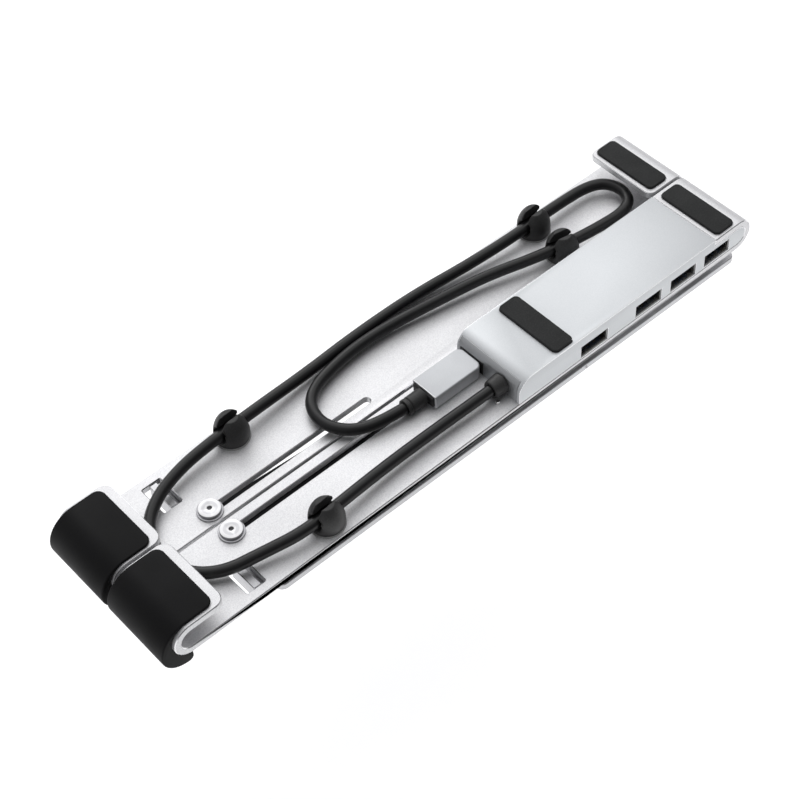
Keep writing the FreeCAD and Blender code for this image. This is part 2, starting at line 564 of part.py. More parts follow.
def arm_pieces(side, word):
    """One laptop arm with its grip strip, hinge pin, prop leg, prop pin and prop foot."""
    hinge, prop = station(ARM_HINGE), station(PROP_HINGE)
    mid_z = (ARM_Z[0] + ARM_Z[1]) / 2
    prop_end = prop + PROP_LENGTH
    tongue_y = across(side, (WINDOW_Y[0] + 0.3, WINDOW_Y[1] - 0.3))
    arm = rounded_slab([station(d) for d in ARM], across(side, ARM_Y), ARM_Z, 3.0)
    arm = arm.fuse(block((hinge - KNUCKLE_R, station(ARM[0]) + 4), tongue_y, ARM_Z))
    knuckle_z = (ARM_Z[0], HINGE_Z + KNUCKLE_RISE)
    arm = arm.fuse(block((hinge - KNUCKLE_R, hinge + KNUCKLE_R), tongue_y, knuckle_z))
    bore_ends = [(hinge, tongue_y[0] - 1, HINGE_Z), (hinge, tongue_y[1] + 1, HINGE_Z)]
    arm = arm.cut(rod(HINGE_PIN_R + RUN, *bore_ends))
    window = rounded_slab((prop - 1.9, prop_end + 2.2), across(side, ARM_WINDOW_Y),
                          (ARM_Z[0] - 1, ARM_Z[1] + 1), 1.0)
    arm = arm.cut(window)
    pin_ends = [(prop, side * y, mid_z) for y in (ARM_WINDOW_Y[0] - 2.6, ARM_Y[1])]
    arm = arm.cut(rod(PROP_PIN_R, *pin_ends))
    strip_y = across(side, (ARM_WINDOW_Y[0] + 1, ARM_WINDOW_Y[1] - 1))
    strip_x = (station(62.0), station(172.0))
    strip = rounded_slab(strip_x, strip_y, (ARM_Z[0] - 0.4, ARM_Z[0] + 0.8), 2.0)
    pocket = rounded_slab(strip_x, strip_y, (ARM_Z[0] - 1.0, ARM_Z[0] + 0.8), 2.0)
    add(f"{word}_laptop_arm", sloped(arm.cut(pocket).removeSplitter()))
    add(f"{word}_grip_strip", sloped(strip))
    add(f"{word}_prop_pin", sloped(rod(PROP_PIN_R, *pin_ends)))

    leg_y = across(side, (ARM_WINDOW_Y[0] + 0.4, ARM_WINDOW_Y[1] - 0.4))
    leg = block((prop, prop_end - 4.0), leg_y, ARM_Z)
    leg = leg.fuse(rod(ARM_THICK / 2, (prop, leg_y[0], mid_z), (prop, leg_y[1], mid_z)))
    leg = leg.cut(rod(PROP_PIN_R + RUN, (prop, leg_y[0] - 1, mid_z), (prop, leg_y[1] + 1, mid_z)))
    relief_y = across(side, (ARM_WINDOW_Y[0] + 3.2, ARM_WINDOW_Y[1] - 3.2))
    relief = rounded_slab((prop + 12, prop_end - 16), relief_y, (ARM_Z[0] - 1, ARM_Z[1] + 1), 2.0)
    add(f"{word}_prop_leg", sloped(leg.cut(relief).removeSplitter()))
    foot = block((prop_end - 4.0, prop_end), leg_y, ARM_Z)
    foot = softened(foot, 0.9, lambda edge: edge.BoundBox.XMin > prop_end - 1e-6
                    and edge.BoundBox.YLength > 1)
    add(f"{word}_prop_foot", sloped(foot))

    pin = rod(HINGE_PIN_R, (hinge, side * (ARM_Y[0] + 0.1), HINGE_Z), (hinge, side * (OUTER - 0.1), HINGE_Z))
    add(f"{word}_hinge_pin", pin)


# ---------------------------------------------------------------- build and write
for side, word in ((RIGHT, "right"), (LEFT, "left")):
    add(f"{word}_base_plate", base_plate(side))
    add(f"{word}_front_sleeve", front_sleeve(side))
    add(f"{word}_rear_pad", pad_shape([station(d) for d in REAR_PAD], across(side, PAD_Y), LIP_TOP))
    arm_pieces(side, word)
add("hub_mid_pad", pad_shape([station(d) for d in MID_PAD], (-PAD_Y[1], -1.7), LIP_TOP))
add("plate_rivet", softened(upright(1.0, station(149.8), -26.7, PLATE_TOP, PLATE_TOP + 1.0), 0.6,
                            lambda edge: edge.BoundBox.ZMin > PLATE_TOP + 0.9))
hub_pieces()
plug_pieces()
scissor_pieces()
for clip_name, clip_place in CLIPS.items():
    add(clip_name, cable_clip(clip_place))
    add(clip_name.replace("clip_", "clip_pad_"), clip_pad(clip_place))
add("lead", lead_solid())

os.makedirs("parts", exist_ok=True)
for name, shape in parts.items():
    if not shape.isValid():
        print("not valid:", name)
    shape.exportStep(f"parts/{name}.step")
print(len(parts), "nodes")
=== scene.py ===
"""The looks of a folding laptop stand with a built-in data hub and a captive lead.

The stand lies folded flat with its dock side up.  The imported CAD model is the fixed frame: it gives every
place and size in metres.  Each sub-assembly below is a class that holds its own sizes, builds its meshes
and dresses them with finishes that are named for what the real surface is.
"""

import json
import logging
import math
from dataclasses import dataclass, field
from enum import Enum

import bmesh
import bpy
from mathutils import Matrix, Vector

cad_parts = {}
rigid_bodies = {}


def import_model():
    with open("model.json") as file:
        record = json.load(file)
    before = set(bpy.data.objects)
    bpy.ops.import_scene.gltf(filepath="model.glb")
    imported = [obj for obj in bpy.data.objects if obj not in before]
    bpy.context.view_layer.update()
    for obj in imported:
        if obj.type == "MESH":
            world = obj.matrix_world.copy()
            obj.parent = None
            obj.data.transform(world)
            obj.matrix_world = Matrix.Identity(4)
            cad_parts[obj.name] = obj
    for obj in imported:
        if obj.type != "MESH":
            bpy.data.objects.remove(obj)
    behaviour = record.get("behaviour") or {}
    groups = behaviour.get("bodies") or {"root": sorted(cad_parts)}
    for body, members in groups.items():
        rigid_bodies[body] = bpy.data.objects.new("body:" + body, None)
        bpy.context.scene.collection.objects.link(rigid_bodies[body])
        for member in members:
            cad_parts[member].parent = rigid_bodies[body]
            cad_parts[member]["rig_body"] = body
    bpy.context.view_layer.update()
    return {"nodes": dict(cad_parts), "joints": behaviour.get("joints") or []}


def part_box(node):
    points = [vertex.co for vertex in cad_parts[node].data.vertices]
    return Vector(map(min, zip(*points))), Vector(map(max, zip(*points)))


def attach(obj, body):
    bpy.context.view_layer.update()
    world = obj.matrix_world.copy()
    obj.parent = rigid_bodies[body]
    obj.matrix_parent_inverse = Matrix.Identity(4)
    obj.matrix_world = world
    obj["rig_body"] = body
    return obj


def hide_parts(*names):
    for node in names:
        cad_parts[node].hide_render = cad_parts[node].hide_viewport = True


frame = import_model()

MM = 0.001
LOG = logging.getLogger("laptop_stand")

WELD_M = 2e-7            # points of a CAD mesh closer than this are one point
SHARP_EDGE_DEG = 35      # an edge sharper than this gets broken
ROLLED_EDGE_DEG = 60.0   # a moulded mesh keeps a crease only above this
WAVES_PER_UNIT = 20      # the wave texture draws this many radians per unit of its scale


# ---------------------------------------------------------------- colours and nodes
def linear(code: str) -> tuple[float, float, float, float]:
    """Turn an sRGB hex colour into the linear colour that shaders take.

    Args:
        code: six hex digits after a hash.

    Returns:
        Red, green, blue and alpha.
    """
    channels = (int(code[k:k + 2], 16) / 255 for k in (1, 3, 5))
    straight = (c / 12.92 if c <= 0.04045 else ((c + 0.055) / 1.055) ** 2.4 for c in channels)
    return (*straight, 1.0)


def per_metre(size_mm: float) -> float:
    """Texture scale, in repeats per metre, of a pattern whose repeat is size_mm."""
    return 1 / (size_mm * MM)


def add_node(tree: bpy.types.NodeTree, kind: str, settings: dict | None = None,
             links: dict | None = None) -> bpy.types.Node:
    """Add one node with its settings and its incoming links.

    Args:
        tree: the node tree to add to.
        kind: the node's type name.
        settings: values by socket name or number, or by the node's own property.
        links: outgoing sockets of other nodes, by this node's socket name or number.

    Returns:
        The new node.
    """
    node = tree.nodes.new(kind)
    for key, value in (settings or {}).items():
        if isinstance(key, int) or key in node.inputs:
            node.inputs[key].default_value = value
        else:
            setattr(node, key, value)
    for key, source in (links or {}).items():
        tree.links.new(source, node.inputs[key])
    return node


class Grain(Enum):
    """Which way a surface was worked."""

    EVEN = (1.0, 1.0, 1.0)
    ALONG = (0.03, 1.0, 1.0)
    ACROSS = (1.0, 0.03, 1.0)


# ---------------------------------------------------------------- finishes
# Materials made so far, by finish.  The CAD model brings materials of its own, so Blender's list won't do.
MADE: dict[str, bpy.types.Material] = {}


@dataclass(frozen=True)
class Finish:
    """One finish: two tones, a spread of roughness and a relief, all at real sizes.

    The relief is a noise of grain_mm, stretched the way the surface was worked.  The blotches are broad
    changes of gloss, as handling leaves them.
    """

    name: str
    tone: str
    second_tone: str
    metallic: float = 0.0
    gloss: tuple[float, float] = (0.45, 0.55)
    grain_mm: float = 0.4
    grain_depth_mm: float = 0.02
    relief: float = 0.3
    blotch_mm: float = 18.0
    worked: Grain = Grain.EVEN
    fixed: dict = field(default_factory=dict)

    def height(self, tree: bpy.types.NodeTree, place: bpy.types.NodeSocket) -> bpy.types.NodeSocket:
        """The surface's relief, from 0 to 1.

        Args:
            tree: the material's node tree.
            place: the socket with the point on the surface, in metres.

        Returns:
            The socket with the height.
        """
        stretched = add_node(tree, "ShaderNodeMapping", {"Scale": self.worked.value}, {"Vector": place})
        grain = add_node(tree, "ShaderNodeTexNoise",
                         {"Scale": per_metre(self.grain_mm), "Detail": 3.0, "Roughness": 0.6},
                         {"Vector": stretched.outputs[0]})
        return grain.outputs[0]

    def build(self) -> bpy.types.Material:
        """Make the material, or give the one already made."""
        if self.name in MADE:
            return MADE[self.name]
        material = MADE[self.name] = bpy.data.materials.new(self.name)
        material.use_nodes = True
        tree = material.node_tree
        tree.nodes.clear()
        place = add_node(tree, "ShaderNodeTexCoord").outputs["Object"]
        height = self.height(tree, place)
        blotch = add_node(tree, "ShaderNodeTexNoise",
                          {"Scale": per_metre(self.blotch_mm), "Detail": 2.0, "Roughness": 0.5},
                          {"Vector": place})
        gloss = add_node(tree, "ShaderNodeMapRange",
                         {"From Min": 0.3, "From Max": 0.7, "To Min": self.gloss[0], "To Max": self.gloss[1]},
                         {"Value": blotch.outputs[0]})
        tones = add_node(tree, "ShaderNodeValToRGB", links={"Fac": height})
        tones.color_ramp.elements[0].position = 0.32
        tones.color_ramp.elements[0].color = linear(self.second_tone)
        tones.color_ramp.elements[1].position = 0.68
        tones.color_ramp.elements[1].color = linear(self.tone)
        bump = add_node(tree, "ShaderNodeBump",
                        {"Strength": self.relief, "Distance": self.grain_depth_mm * MM}, {"Height": height})
        shader = add_node(tree, "ShaderNodeBsdfPrincipled", {"Metallic": self.metallic, **self.fixed},
                          {"Base Color": tones.outputs[0], "Roughness": gloss.outputs[0],
                           "Normal": bump.outputs[0]})
        add_node(tree, "ShaderNodeOutputMaterial", links={"Surface": shader.outputs[0]})
        return material


@dataclass(frozen=True)
class TurnedFinish(Finish):
    """A face cut on a lathe: fine rings round its own axis."""

    centre: tuple[float, float, float] = (0.0, 0.0, 0.0)
    ring_mm: float = 0.35

    def height(self, tree: bpy.types.NodeTree, place: bpy.types.NodeSocket) -> bpy.types.NodeSocket:
        """The rings that the tool leaves."""
        offset = [-value for value in self.centre]
        centred = add_node(tree, "ShaderNodeMapping", {"Location": offset}, {"Vector": place})
        rings = add_node(tree, "ShaderNodeTexWave",
                         {"wave_type": "RINGS", "rings_direction": "Z",
                          "Scale": per_metre(self.ring_mm) / WAVES_PER_UNIT,
                          "Distortion": 0.4, "Detail": 2.0, "Detail Scale": 4.0},
                         {"Vector": centred.outputs[0]})
        return rings.outputs[1]


@dataclass(frozen=True)
class PebbledFinish(Finish):
    """A moulded skin with a fine pebble texture, as spark erosion leaves in the mould."""

    def height(self, tree: bpy.types.NodeTree, place: bpy.types.NodeSocket) -> bpy.types.NodeSocket:
        """Rounded pebbles of the grain's size."""
        cells = add_node(tree, "ShaderNodeTexVoronoi",
                         {"feature": "SMOOTH_F1", "Scale": per_metre(self.grain_mm), "Randomness": 1.0},
                         {"Vector": place})
        return cells.outputs[0]


# Bead-blasted, clear-anodised aluminium sheet: a pale satin grey whose glints are broken up by the grit.
# The grit is about 0.1 mm; 0.35 mm is drawn, which is as coarse as it needs to be to show.
BLASTED_SHEET = Finish("blasted_anodised_sheet", "#E9E9EA", "#D2D2D4", metallic=0.85, gloss=(0.5, 0.58),
                       grain_mm=0.35, grain_depth_mm=0.05, relief=0.5, blotch_mm=32.0)
# The same sheet inside the folded stack, its tone painted darker than the plates' as shade from the stack,
# with the rub marks of folding.
SHADED_ARM_SHEET = Finish("blasted_anodised_arm_shaded", "#CFCFD1", "#BDBDC0", metallic=1.0, gloss=(0.38, 0.5),
                   grain_mm=0.35, grain_depth_mm=0.03, relief=0.25, blotch_mm=14.0)
# Diamond-cut chamfer, then clear anodised: a bright narrow line round each sheet.
CUT_CHAMFER = Finish("diamond_cut_chamfer", "#F2F2F3", "#E2E2E4", metallic=1.0, gloss=(0.2, 0.28),
                     grain_mm=0.15, grain_depth_mm=0.004, relief=0.2)
# Extruded hub case, finer blasting than the sheet: smooth, a touch bluish.
HUB_CASE = Finish("satin_anodised_extrusion", "#DEE0E2", "#D6D9DB", metallic=0.8, gloss=(0.56, 0.62),
                  grain_mm=0.3, grain_depth_mm=0.012, relief=0.12, blotch_mm=40.0)
HUB_CAP = Finish("satin_anodised_cap", "#BFC1C3", "#B4B6B8", metallic=1.0, gloss=(0.42, 0.5),
                 grain_mm=0.3, grain_depth_mm=0.015, relief=0.15)
PLUG_CASE = Finish("satin_anodised_plug", "#CDCFD1", "#C4C6C9", metallic=0.6, gloss=(0.5, 0.56),
                   grain_mm=0.25, grain_depth_mm=0.01, relief=0.12, blotch_mm=8.0)
# Moulded silicone sleeve: near black and dull, with only a faint glow along its bend.
SILICONE = Finish("cured_silicone_skin", "#131314", "#0F0F10", gloss=(0.5, 0.58), grain_mm=0.5,
                  grain_depth_mm=0.012, relief=0.15, blotch_mm=12.0,
                  fixed={"Specular IOR Level": 0.12})
# Thermoplastic rubber feet: flat dark grey, finely pebbled, nearly no gloss.
FOOT_RUBBER = PebbledFinish("pebbled_foot_rubber", "#2E2F2F", "#252626", gloss=(0.72, 0.82), grain_mm=0.45,
                            grain_depth_mm=0.03, relief=0.3, blotch_mm=9.0,
                            fixed={"Specular IOR Level": 0.35})
# Moulded rubber of clips, gland and strain relief: black, satin where fingers have rubbed it.
CLIP_RUBBER = Finish("moulded_clip_rubber", "#383838", "#2E2E2E", gloss=(0.38, 0.5), grain_mm=0.6,
                     grain_depth_mm=0.03, relief=0.25, blotch_mm=4.0,
                     fixed={"Specular IOR Level": 0.35})
# Extruded elastomer jacket: black with a broad, soft highlight.
LEAD_JACKET = Finish("extruded_lead_jacket", "#131314", "#0E0E0F", gloss=(0.3, 0.38), grain_mm=0.5,
                     grain_depth_mm=0.012, relief=0.15, blotch_mm=10.0,
                     fixed={"Specular IOR Level": 0.4})
# Double-sided acrylic foam tape, seen only as a pale ring under each clip.
FOAM_TAPE = Finish("acrylic_foam_tape", "#A9A9A9", "#8F8F8F", gloss=(0.8, 0.9), grain_mm=0.3,
                   grain_depth_mm=0.05, relief=0.5)
GROUND_PIN = Finish("ground_steel_pin", "#A8A8AA", "#8D8D90", metallic=1.0, gloss=(0.25, 0.35), grain_mm=0.1,
                    grain_depth_mm=0.004, relief=0.3, worked=Grain.ACROSS)
# Cold-rolled steel links, phosphated dark against rust, with the rolling marks along their length.
BRUSHED_LINK = Finish("phosphated_steel_link", "#3C3C3E", "#2C2C2E", metallic=0.9, gloss=(0.42, 0.54),
                      grain_mm=0.12, grain_depth_mm=0.006, relief=0.35, worked=Grain.ALONG)
NICKEL = Finish("nickel_plating", "#A3A29F", "#8F8E8B", metallic=1.0, gloss=(0.22, 0.3), grain_mm=0.4,
                grain_depth_mm=0.004, relief=0.15, blotch_mm=3.0)
BRIGHT_RIVET = Finish("polished_rivet", "#E6E6E6", "#D5D5D5", metallic=1.0, gloss=(0.12, 0.18), grain_mm=0.3,
                      grain_depth_mm=0.003, relief=0.1, blotch_mm=1.0)
GOLD = Finish("gold_flash_contacts", "#E3BE6A", "#C79E4B", metallic=1.0, gloss=(0.22, 0.3), grain_mm=0.2,
              grain_depth_mm=0.003, relief=0.2, blotch_mm=2.0)
# Glass-filled nylon of the sockets' tongues: blue-black, faintly glossy.
TONGUE_NYLON = Finish("glass_filled_nylon", "#1C3550", "#14273B", gloss=(0.4, 0.5), grain_mm=0.2,
                      grain_depth_mm=0.01, relief=0.2, blotch_mm=3.0)
SOCKET_NYLON = Finish("black_moulded_nylon", "#18181A", "#121213", gloss=(0.45, 0.55), grain_mm=0.25,
                      grain_depth_mm=0.01, relief=0.2, blotch_mm=4.0)
SOLDER_MASK = Finish("green_solder_mask", "#12482F", "#0D3523", gloss=(0.2, 0.3), grain_mm=0.8,
                     grain_depth_mm=0.02, relief=0.2, blotch_mm=6.0, fixed={"Coat Weight": 0.4})
CHIP_EPOXY = Finish("moulded_chip_epoxy", "#1E1E20", "#161617", gloss=(0.55, 0.65), grain_mm=0.15,
                    grain_depth_mm=0.006, relief=0.3, blotch_mm=3.0)
ZINC_SCREW = Finish("zinc_plated_screw", "#9C9DA0", "#838488", metallic=1.0, gloss=(0.3, 0.4), grain_mm=0.2,
                    grain_depth_mm=0.006, relief=0.2, blotch_mm=2.0)


# ---------------------------------------------------------------- mesh tools
def node_body(node: str) -> str:
    """The name of the CAD body that a node belongs to."""
    return frame["nodes"][node]["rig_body"]


def piece_from(bm: bmesh.types.BMesh, name: str, finishes: list[Finish],
               sharp_deg: float = 30.0) -> bpy.types.Object:
    """Turn a bmesh into a shown piece.

    Args:
        bm: the mesh; it is freed.
        name: the piece's name.
        finishes: what its material slots hold, in order.
        sharp_deg: faces that meet at more than this angle keep a sharp edge.

    Returns:
        The new object.
    """
    mesh = bpy.data.meshes.new(name)
    bm.to_mesh(mesh)
    bm.free()
    if "custom_normal" in mesh.attributes:
        mesh.attributes.remove(mesh.attributes["custom_normal"])
    mesh.polygons.foreach_set("use_smooth", [True] * len(mesh.polygons))
    mesh.set_sharp_from_angle(angle=math.radians(sharp_deg))
    for finish in finishes:
        mesh.materials.append(finish.build())
    piece = bpy.data.objects.new(name, mesh)
    bpy.context.scene.collection.objects.link(piece)
    return piece


def settle(piece: bpy.types.Object, node: str) -> bpy.types.Object:
    """Let a piece stand for a CAD node: it rides on the node's body and the node is hidden."""
    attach(piece, node_body(node))
    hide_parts(node)
    return piece


def node_mesh(node: str, flat_deg: float = 0.2) -> bmesh.types.BMesh:
    """A CAD node's mesh with its seams welded and its flat faces whole.

    Args:
        node: the CAD node.
        flat_deg: faces that meet at less than this angle become one.

    Returns:
        A new bmesh.
    """
    bm = bmesh.new()
    bm.from_mesh(frame["nodes"][node].data)
    bmesh.ops.remove_doubles(bm, verts=bm.verts, dist=WELD_M)
    for face in bm.faces:
        face.material_index = 0
    bmesh.ops.dissolve_limit(bm, angle_limit=math.radians(flat_deg), verts=bm.verts, edges=bm.edges)
    return bm


def softened(node: str, finish: Finish, edge_mm: float, edge_finish: Finish | None = None,
             steps: int = 2) -> bpy.types.Object:
    """A CAD node with its sharp edges broken, as a deburred or cut part has them.

    Args:
        node: the CAD node.
        finish: the finish of its faces.
        edge_mm: how wide the broken edge is.
        edge_finish: the finish of the broken edges, if it isn't the same.
        steps: how many facets round an edge; 1 is a flat chamfer.

    Returns:
        The piece that stands for the node.
    """
    bm = node_mesh(node)
    limit = math.radians(SHARP_EDGE_DEG)
    sharp = [edge for edge in bm.edges if edge.is_manifold and edge.calc_face_angle(0) > limit]
    bmesh.ops.bevel(bm, geom=sharp, offset=edge_mm * MM, offset_type="OFFSET", segments=steps, profile=0.5,
                    affect="EDGES", clamp_overlap=False, material=1 if edge_finish else -1)
    piece = piece_from(bm, f"{node}_finished", [finish, edge_finish] if edge_finish else [finish])
    return settle(piece, node)


def moulded(node: str, finish: Finish, voxel_mm: float, rounds: int) -> bpy.types.Object:
    """A CAD node with every edge rolled over, as moulded rubber has them.

    Args:
        node: the CAD node.
        finish: its finish.
        voxel_mm: the size of the remeshed faces.
        rounds: how often the mesh is smoothed.

    Returns:
        The piece that stands for the node.
    """
    bm = node_mesh(node)
    rough = piece_from(bm, f"{node}_rough", [finish])
    remesh = rough.modifiers.new("even_faces", "REMESH")
    remesh.mode = "VOXEL"
    remesh.voxel_size = voxel_mm * MM
    smooth = rough.modifiers.new("rolled_edges", "SMOOTH")
    smooth.factor = 0.5
    smooth.iterations = rounds
    bpy.context.view_layer.update()
    shaped = bpy.data.meshes.new_from_object(rough.evaluated_get(bpy.context.evaluated_depsgraph_get()))
    bpy.data.objects.remove(rough)
    rolled = bmesh.new()
    rolled.from_mesh(shaped)
    bpy.data.meshes.remove(shaped)
    for face in rolled.faces:
        face.material_index = 0
    return settle(piece_from(rolled, f"{node}_moulded", [finish], sharp_deg=ROLLED_EDGE_DEG), node)


def dress(node: str, finish: Finish) -> None:
    """Give a CAD node that stays as it is its finish."""
    mesh = frame["nodes"][node].data
    mesh.materials.clear()
    mesh.materials.append(finish.build())


def middle(node: str) -> Vector:
    """The middle of a node's box."""
    low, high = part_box(node)
    return (low + high) / 2


class Side(Enum):
    """The two halves of the stand, as the nodes are named."""

    RIGHT = "right"
    LEFT = "left"


# ---------------------------------------------------------------- base plates
@dataclass
class BasePlates:
    """The two bent plates, the moulded sleeves over their front hooks, and their rear feet."""

    chamfer_mm: float = 0.28
    sleeve_edge_mm: float = 0.55
    foot_edge_mm: float = 0.2

    def build(self) -> int:
        """Make the plates and what is fixed to them.

        Returns:
            The number of pieces.
        """
        count = 0
        for side in Side:
            word = side.value
            softened(f"{word}_base_plate", BLASTED_SHEET, self.chamfer_mm, CUT_CHAMFER, steps=1)
            softened(f"{word}_front_sleeve", SILICONE, self.sleeve_edge_mm, steps=4)
            softened(f"{word}_rear_pad", FOOT_RUBBER, self.foot_edge_mm, steps=3)
            count += 3
        dress("plate_rivet", BRIGHT_RIVET)
        return count + 1


# ---------------------------------------------------------------- hub
@dataclass
class Hub:
    """The hub's case and cap, its feet, its four sockets and what is inside it."""

    case_edge_mm: float = 0.18
    cap_edge_mm: float = 0.12
    pad_edge_mm: float = 0.2
    insert_edge_mm: float = 0.1
    shell_edge_mm: float = 0.06
    tongue_edge_mm: float = 0.15
    gland_voxel_mm: float = 0.18
    gland_rounds: int = 4
    socket_count: int = 4
    shell_wall_mm: float = 0.3
    spring_inset_mm: float = 2.0
    spring_drop_mm: float = 0.6
    floor_spring_shares: tuple[float, float] = (0.3, 0.7)
    spring_bow: float = 0.8
    spring_wide_mm: float = 1.5
    spring_long_mm: float = 5.0
    spring_lift_mm: float = 0.35
    spring_thick_mm: float = 0.12
    spring_steps: int = 10

    def build(self) -> int:
        """Make every piece of the hub.

        Returns:
            The number of pieces.
        """
        softened("hub_housing", HUB_CASE, self.case_edge_mm, CUT_CHAMFER, steps=2)
        softened("hub_end_cap", HUB_CAP, self.cap_edge_mm)
        softened("hub_mid_pad", FOOT_RUBBER, self.pad_edge_mm, steps=3)
        softened("parking_socket", SOCKET_NYLON, self.insert_edge_mm)
        moulded("cable_gland", CLIP_RUBBER, self.gland_voxel_mm, self.gland_rounds)
        for node, finish in (("gland_nut", NICKEL), ("circuit_board", SOLDER_MASK),
                             ("board_chips", CHIP_EPOXY), ("port_contacts", GOLD), ("hub_screws", ZINC_SCREW)):
            dress(node, finish)
        for number in range(1, self.socket_count + 1):
            softened(f"port_shell_{number}", NICKEL, self.shell_edge_mm)
            softened(f"port_tongue_{number}", TONGUE_NYLON, self.tongue_edge_mm)
            self.springs(number)
        return 10 + 3 * self.socket_count

    def springs(self, number: int) -> bpy.types.Object:
        """The leaf springs that a socket's shell presses on a plug with, two below and one each end.

        Args:
            number: which socket.

        Returns:
            The springs, as one piece.
        """
        low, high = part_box(f"port_shell_{number}")
        wall = self.shell_wall_mm * MM
        start = low.y + self.spring_inset_mm * MM
        side_height = (low.z + high.z) / 2 - self.spring_drop_mm * MM
        bm = bmesh.new()
        for share in self.floor_spring_shares:
            self.leaf(bm, Vector((low.x + share * (high.x - low.x), start, low.z + wall)),
                      Vector((1, 0, 0)), Vector((0, 0, 1)))
        for x, way in ((low.x + wall, 1), (high.x - wall, -1)):
            self.leaf(bm, Vector((x, start, side_height)), Vector((0, 0, 1)), Vector((way, 0, 0)))
        bmesh.ops.recalc_face_normals(bm, faces=bm.faces)
        piece = piece_from(bm, f"port_springs_{number}", [NICKEL])
        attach(piece, node_body(f"port_shell_{number}"))
        return piece

    def leaf(self, bm: bmesh.types.BMesh, root: Vector, wide_way: Vector, lift_way: Vector) -> None:
        """Add one bowed leaf spring.

        Args:
            bm: the mesh to add to.
            root: the middle of its front end, on the shell's wall.
            wide_way: the direction across the leaf.
            lift_way: the direction it bows in.
        """
        half = wide_way * (self.spring_wide_mm * MM / 2)
        thick = lift_way * (self.spring_thick_mm * MM)
        rings = []
        for step in range(self.spring_steps + 1):
            share = step / self.spring_steps
            lift = lift_way * (self.spring_lift_mm * MM * math.sin(math.pi * share) ** self.spring_bow)
            base = root + Vector((0, share * self.spring_long_mm * MM, 0)) + lift
            corners = (-half, half, half + thick, -half + thick)
            rings.append([bm.verts.new(base + corner) for corner in corners])
        for before, after in zip(rings, rings[1:]):
            for k in range(4):
                bm.faces.new((before[k], before[(k + 1) % 4], after[(k + 1) % 4], after[k]))
        bm.faces.new(rings[0][::-1])
        bm.faces.new(rings[-1])


# ---------------------------------------------------------------- lead
@dataclass
class Lead:
    """The captive lead on its parked route, with its plug and strain relief.

    It leaves the gland, turns under the front hooks, runs back through the clips, turns round behind the
    hub and comes forward to the plug, which is parked in the hub's front face.
    """

    diameter_mm: float = 4.4
    length_mm: float = 603.7
    plug_edge_mm: float = 0.22
    core_edge_mm: float = 0.1
    tip_edge_mm: float = 0.12
    relief_voxel_mm: float = 0.16
    relief_rounds: int = 4
    route_mm: tuple = (
        (18.6, -23.2, 13.0), (7.0, -23.2, 13.0), (-12.0, -22.7, 12.6), (-34.0, -22.9, 12.7),
        (-54.0, -24.4, 13.8), (-73.3, -25.6, 13.8), (-88.5, -22.0, 12.8), (-102.2, -19.0, 12.2),
        (-111.2, -11.0, 12.0), (-113.8, 1.0, 12.0), (-109.9, 12.8, 12.1), (-100.0, 20.4, 12.6),
        (-87.0, 24.2, 13.3), (-73.7, 25.4, 13.8), (-52.7, 26.4, 13.8), (-29.0, 27.9, 12.2),
        (-4.0, 30.0, 11.4), (24.0, 30.0, 11.4), (48.0, 26.9, 12.4), (70.5, 24.8, 13.8),
        (91.5, 25.6, 13.8), (113.1, 24.9, 13.1), (118.7, 15.3, 12.9), (113.1, 5.7, 12.9),
        (91.0, 6.7, 13.7), (69.0, 11.0, 13.8), (50.0, 17.6, 13.0), (28.0, 21.6, 12.4),
        (5.0, 25.0, 12.2), (-14.0, 24.8, 12.3), (-34.1, 20.3, 12.1), (-40.0, 8.2, 11.9),
        (-33.5, -4.2, 11.9), (-17.2, -8.1, 12.2), (-8.0, -8.1, 12.2),
    )

    def build(self) -> int:
        """Make the lead and dress what is on it.

        Returns:
            The number of pieces.
        """
        on_it = [softened("plug_shell", PLUG_CASE, self.plug_edge_mm, CUT_CHAMFER, steps=2),
                 softened("plug_core", SOCKET_NYLON, self.core_edge_mm),
                 moulded("plug_strain_relief", CLIP_RUBBER, self.relief_voxel_mm, self.relief_rounds),
                 softened("plug_tip", NICKEL, self.tip_edge_mm)]
        tube = self.tube()
        settle(tube, "lead")
        return 1 + len(on_it)

    def tube(self) -> bpy.types.Object:
        """The lead as one smooth round curve along its route."""
        curve = bpy.data.curves.new("lead_jacket_tube", "CURVE")
        curve.dimensions = "3D"
        curve.bevel_depth = self.diameter_mm * MM / 2
        curve.bevel_resolution = 7
        curve.resolution_u = 14
        curve.use_fill_caps = True
        spline = curve.splines.new("NURBS")
        spline.points.add(len(self.route_mm) - 1)
        for point, place in zip(spline.points, self.route_mm):
            point.co = (*(value * MM for value in place), 1.0)
        spline.order_u = 3
        spline.use_endpoint_u = True
        spline.use_smooth = True
        curve.materials.append(LEAD_JACKET.build())
        tube = bpy.data.objects.new("lead_jacket_tube", curve)
        bpy.context.scene.collection.objects.link(tube)
        return tube


# ---------------------------------------------------------------- clips
@dataclass
class CableClips:
    """Four domed rubber clips on round adhesive pads."""

    clip_count: int = 4
    voxel_mm: float = 0.2
    rounds: int = 4
    pad_edge_mm: float = 0.08

    def build(self) -> int:
        """Make the clips and their pads.

        Returns:
            The number of pieces.
        """
        for number in range(1, self.clip_count + 1):
            moulded(f"cable_clip_{number}", CLIP_RUBBER, self.voxel_mm, self.rounds)
            softened(f"cable_clip_pad_{number}", FOAM_TAPE, self.pad_edge_mm)
        return 2 * self.clip_count


